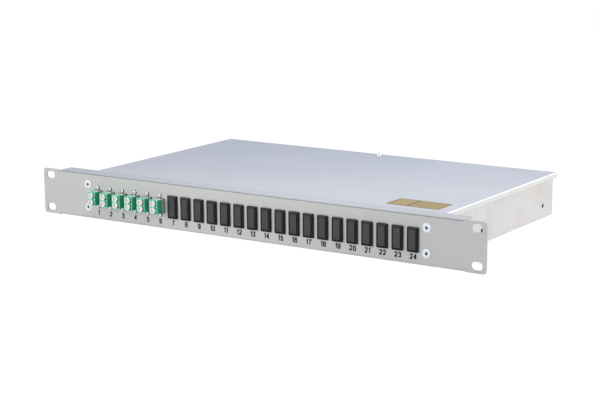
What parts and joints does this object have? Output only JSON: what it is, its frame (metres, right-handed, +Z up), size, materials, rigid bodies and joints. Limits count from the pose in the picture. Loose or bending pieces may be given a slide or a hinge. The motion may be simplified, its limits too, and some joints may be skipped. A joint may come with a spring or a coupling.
{
  "type": "fiber termination box",
  "caption": "Shallow 19 inch rack box with a folded front panel of numbered ports, green fibre adapters with dust caps, blanking plugs and a sliding top cover.",
  "frame": {"origin": "middle of the rear face of the front panel, the face that bears on the rack rails", "axes": "+X to the right seen from the front, +Y into the rack, +Z up"},
  "size_m": [0.4826, 0.2695, 0.0443],
  "materials": {
    "panel_paint": "fine satin powder coat, light grey",
    "zinc_sheet": "zinc-coated sheet, slightly blue",
    "bright_steel": "bright zinc-plated",
    "spring_steel": "thin spring steel",
    "green_plastic": "moulded, satin",
    "black_plastic": "moulded, matt",
    "cream_plastic": "translucent moulded",
    "white_plastic": "moulded, matt",
    "clear_plastic": "clear moulded sheet",
    "ceramic": "polished zirconia",
    "label": "plain yellow film",
    "rubber": "black rubber"
  },
  "bodies": {
    "box": {"front_panel": "panel_paint", "base_tray": "zinc_sheet", "panel_screws": "bright_steel", "panel_nuts": "bright_steel", "adapter_clips": "spring_steel", "adapter_sleeves": "ceramic", "adapter_screws": "bright_steel", "adapter_nuts": "bright_steel", "splice_cassette": "black_plastic", "cassette_lid": "clear_plastic", "splice_comb": "rubber", "cassette_studs": "bright_steel", "cassette_nuts": "bright_steel", "fibre_clips": "white_plastic", "gland_bodies": "black_plastic", "gland_seals": "rubber", "gland_locknuts": "black_plastic", "entry_plugs": "rubber", "adapter_01": "green_plastic", "adapter_02": "green_plastic", "adapter_03": "green_plastic", "adapter_04": "green_plastic", "adapter_05": "green_plastic", "adapter_06": "green_plastic"},
    "cover": {"top_cover": "zinc_sheet", "cover_label": "label", "cover_screw": "bright_steel", "cover_nut": "bright_steel"},
    "dust_cap_01": {"dust_cap_01": "cream_plastic"},
    "dust_cap_02": {"dust_cap_02": "cream_plastic"},
    "dust_cap_03": {"dust_cap_03": "cream_plastic"},
    "dust_cap_04": {"dust_cap_04": "cream_plastic"},
    "dust_cap_05": {"dust_cap_05": "cream_plastic"},
    "dust_cap_06": {"dust_cap_06": "cream_plastic"},
    "dust_cap_07": {"dust_cap_07": "cream_plastic"},
    "dust_cap_08": {"dust_cap_08": "cream_plastic"},
    "dust_cap_09": {"dust_cap_09": "cream_plastic"},
    "dust_cap_10": {"dust_cap_10": "cream_plastic"},
    "dust_cap_11": {"dust_cap_11": "cream_plastic"},
    "dust_cap_12": {"dust_cap_12": "cream_plastic"},
    "blanking_plug_07": {"blanking_plug_07": "black_plastic"},
    "blanking_plug_08": {"blanking_plug_08": "black_plastic"},
    "blanking_plug_09": {"blanking_plug_09": "black_plastic"},
    "blanking_plug_10": {"blanking_plug_10": "black_plastic"},
    "blanking_plug_11": {"blanking_plug_11": "black_plastic"},
    "blanking_plug_12": {"blanking_plug_12": "black_plastic"},
    "blanking_plug_13": {"blanking_plug_13": "black_plastic"},
    "blanking_plug_14": {"blanking_plug_14": "black_plastic"},
    "blanking_plug_15": {"blanking_plug_15": "black_plastic"},
    "blanking_plug_16": {"blanking_plug_16": "black_plastic"},
    "blanking_plug_17": {"blanking_plug_17": "black_plastic"},
    "blanking_plug_18": {"blanking_plug_18": "black_plastic"},
    "blanking_plug_19": {"blanking_plug_19": "black_plastic"},
    "blanking_plug_20": {"blanking_plug_20": "black_plastic"},
    "blanking_plug_21": {"blanking_plug_21": "black_plastic"},
    "blanking_plug_22": {"blanking_plug_22": "black_plastic"},
    "blanking_plug_23": {"blanking_plug_23": "black_plastic"},
    "blanking_plug_24": {"blanking_plug_24": "black_plastic"},
    "gland_nut_left": {"gland_nut_left": "black_plastic"},
    "gland_nut_right": {"gland_nut_right": "black_plastic"}
  },
  "joints": [
    {"name": "cover_slide", "type": "slide", "parent": "box", "child": "cover", "axis": [0, 1, 0], "range_m": [0, 0.245]},
    {"name": "dust_cap_pull_01", "type": "slide", "parent": "box", "child": "dust_cap_01", "axis": [0, -1, 0], "range_m": [0, 0.03]},
    {"name": "dust_cap_pull_02", "type": "slide", "parent": "box", "child": "dust_cap_02", "axis": [0, -1, 0], "range_m": [0, 0.03]},
    {"name": "dust_cap_pull_03", "type": "slide", "parent": "box", "child": "dust_cap_03", "axis": [0, -1, 0], "range_m": [0, 0.03]},
    {"name": "dust_cap_pull_04", "type": "slide", "parent": "box", "child": "dust_cap_04", "axis": [0, -1, 0], "range_m": [0, 0.03]},
    {"name": "dust_cap_pull_05", "type": "slide", "parent": "box", "child": "dust_cap_05", "axis": [0, -1, 0], "range_m": [0, 0.03]},
    {"name": "dust_cap_pull_06", "type": "slide", "parent": "box", "child": "dust_cap_06", "axis": [0, -1, 0], "range_m": [0, 0.03]},
    {"name": "dust_cap_pull_07", "type": "slide", "parent": "box", "child": "dust_cap_07", "axis": [0, -1, 0], "range_m": [0, 0.03]},
    {"name": "dust_cap_pull_08", "type": "slide", "parent": "box", "child": "dust_cap_08", "axis": [0, -1, 0], "range_m": [0, 0.03]},
    {"name": "dust_cap_pull_09", "type": "slide", "parent": "box", "child": "dust_cap_09", "axis": [0, -1, 0], "range_m": [0, 0.03]},
    {"name": "dust_cap_pull_10", "type": "slide", "parent": "box", "child": "dust_cap_10", "axis": [0, -1, 0], "range_m": [0, 0.03]},
    {"name": "dust_cap_pull_11", "type": "slide", "parent": "box", "child": "dust_cap_11", "axis": [0, -1, 0], "range_m": [0, 0.03]},
    {"name": "dust_cap_pull_12", "type": "slide", "parent": "box", "child": "dust_cap_12", "axis": [0, -1, 0], "range_m": [0, 0.03]},
    {"name": "blanking_plug_pull_07", "type": "slide", "parent": "box", "child": "blanking_plug_07", "axis": [0, -1, 0], "range_m": [0, 0.03]},
    {"name": "blanking_plug_pull_08", "type": "slide", "parent": "box", "child": "blanking_plug_08", "axis": [0, -1, 0], "range_m": [0, 0.03]},
    {"name": "blanking_plug_pull_09", "type": "slide", "parent": "box", "child": "blanking_plug_09", "axis": [0, -1, 0], "range_m": [0, 0.03]},
    {"name": "blanking_plug_pull_10", "type": "slide", "parent": "box", "child": "blanking_plug_10", "axis": [0, -1, 0], "range_m": [0, 0.03]},
    {"name": "blanking_plug_pull_11", "type": "slide", "parent": "box", "child": "blanking_plug_11", "axis": [0, -1, 0], "range_m": [0, 0.03]},
    {"name": "blanking_plug_pull_12", "type": "slide", "parent": "box", "child": "blanking_plug_12", "axis": [0, -1, 0], "range_m": [0, 0.03]},
    {"name": "blanking_plug_pull_13", "type": "slide", "parent": "box", "child": "blanking_plug_13", "axis": [0, -1, 0], "range_m": [0, 0.03]},
    {"name": "blanking_plug_pull_14", "type": "slide", "parent": "box", "child": "blanking_plug_14", "axis": [0, -1, 0], "range_m": [0, 0.03]},
    {"name": "blanking_plug_pull_15", "type": "slide", "parent": "box", "child": "blanking_plug_15", "axis": [0, -1, 0], "range_m": [0, 0.03]},
    {"name": "blanking_plug_pull_16", "type": "slide", "parent": "box", "child": "blanking_plug_16", "axis": [0, -1, 0], "range_m": [0, 0.03]},
    {"name": "blanking_plug_pull_17", "type": "slide", "parent": "box", "child": "blanking_plug_17", "axis": [0, -1, 0], "range_m": [0, 0.03]},
    {"name": "blanking_plug_pull_18", "type": "slide", "parent": "box", "child": "blanking_plug_18", "axis": [0, -1, 0], "range_m": [0, 0.03]},
    {"name": "blanking_plug_pull_19", "type": "slide", "parent": "box", "child": "blanking_plug_19", "axis": [0, -1, 0], "range_m": [0, 0.03]},
    {"name": "blanking_plug_pull_20", "type": "slide", "parent": "box", "child": "blanking_plug_20", "axis": [0, -1, 0], "range_m": [0, 0.03]},
    {"name": "blanking_plug_pull_21", "type": "slide", "parent": "box", "child": "blanking_plug_21", "axis": [0, -1, 0], "range_m": [0, 0.03]},
    {"name": "blanking_plug_pull_22", "type": "slide", "parent": "box", "child": "blanking_plug_22", "axis": [0, -1, 0], "range_m": [0, 0.03]},
    {"name": "blanking_plug_pull_23", "type": "slide", "parent": "box", "child": "blanking_plug_23", "axis": [0, -1, 0], "range_m": [0, 0.03]},
    {"name": "blanking_plug_pull_24", "type": "slide", "parent": "box", "child": "blanking_plug_24", "axis": [0, -1, 0], "range_m": [0, 0.03]},
    {"name": "gland_nut_left_turn", "type": "hinge", "parent": "box", "child": "gland_nut_left", "pos_m": [-0.15, 0.24885, 0], "axis": [0, 1, 0], "continuous": true},
    {"name": "gland_nut_right_turn", "type": "hinge", "parent": "box", "child": "gland_nut_right", "pos_m": [0.15, 0.24885, 0], "axis": [0, 1, 0], "continuous": true}
  ]
}
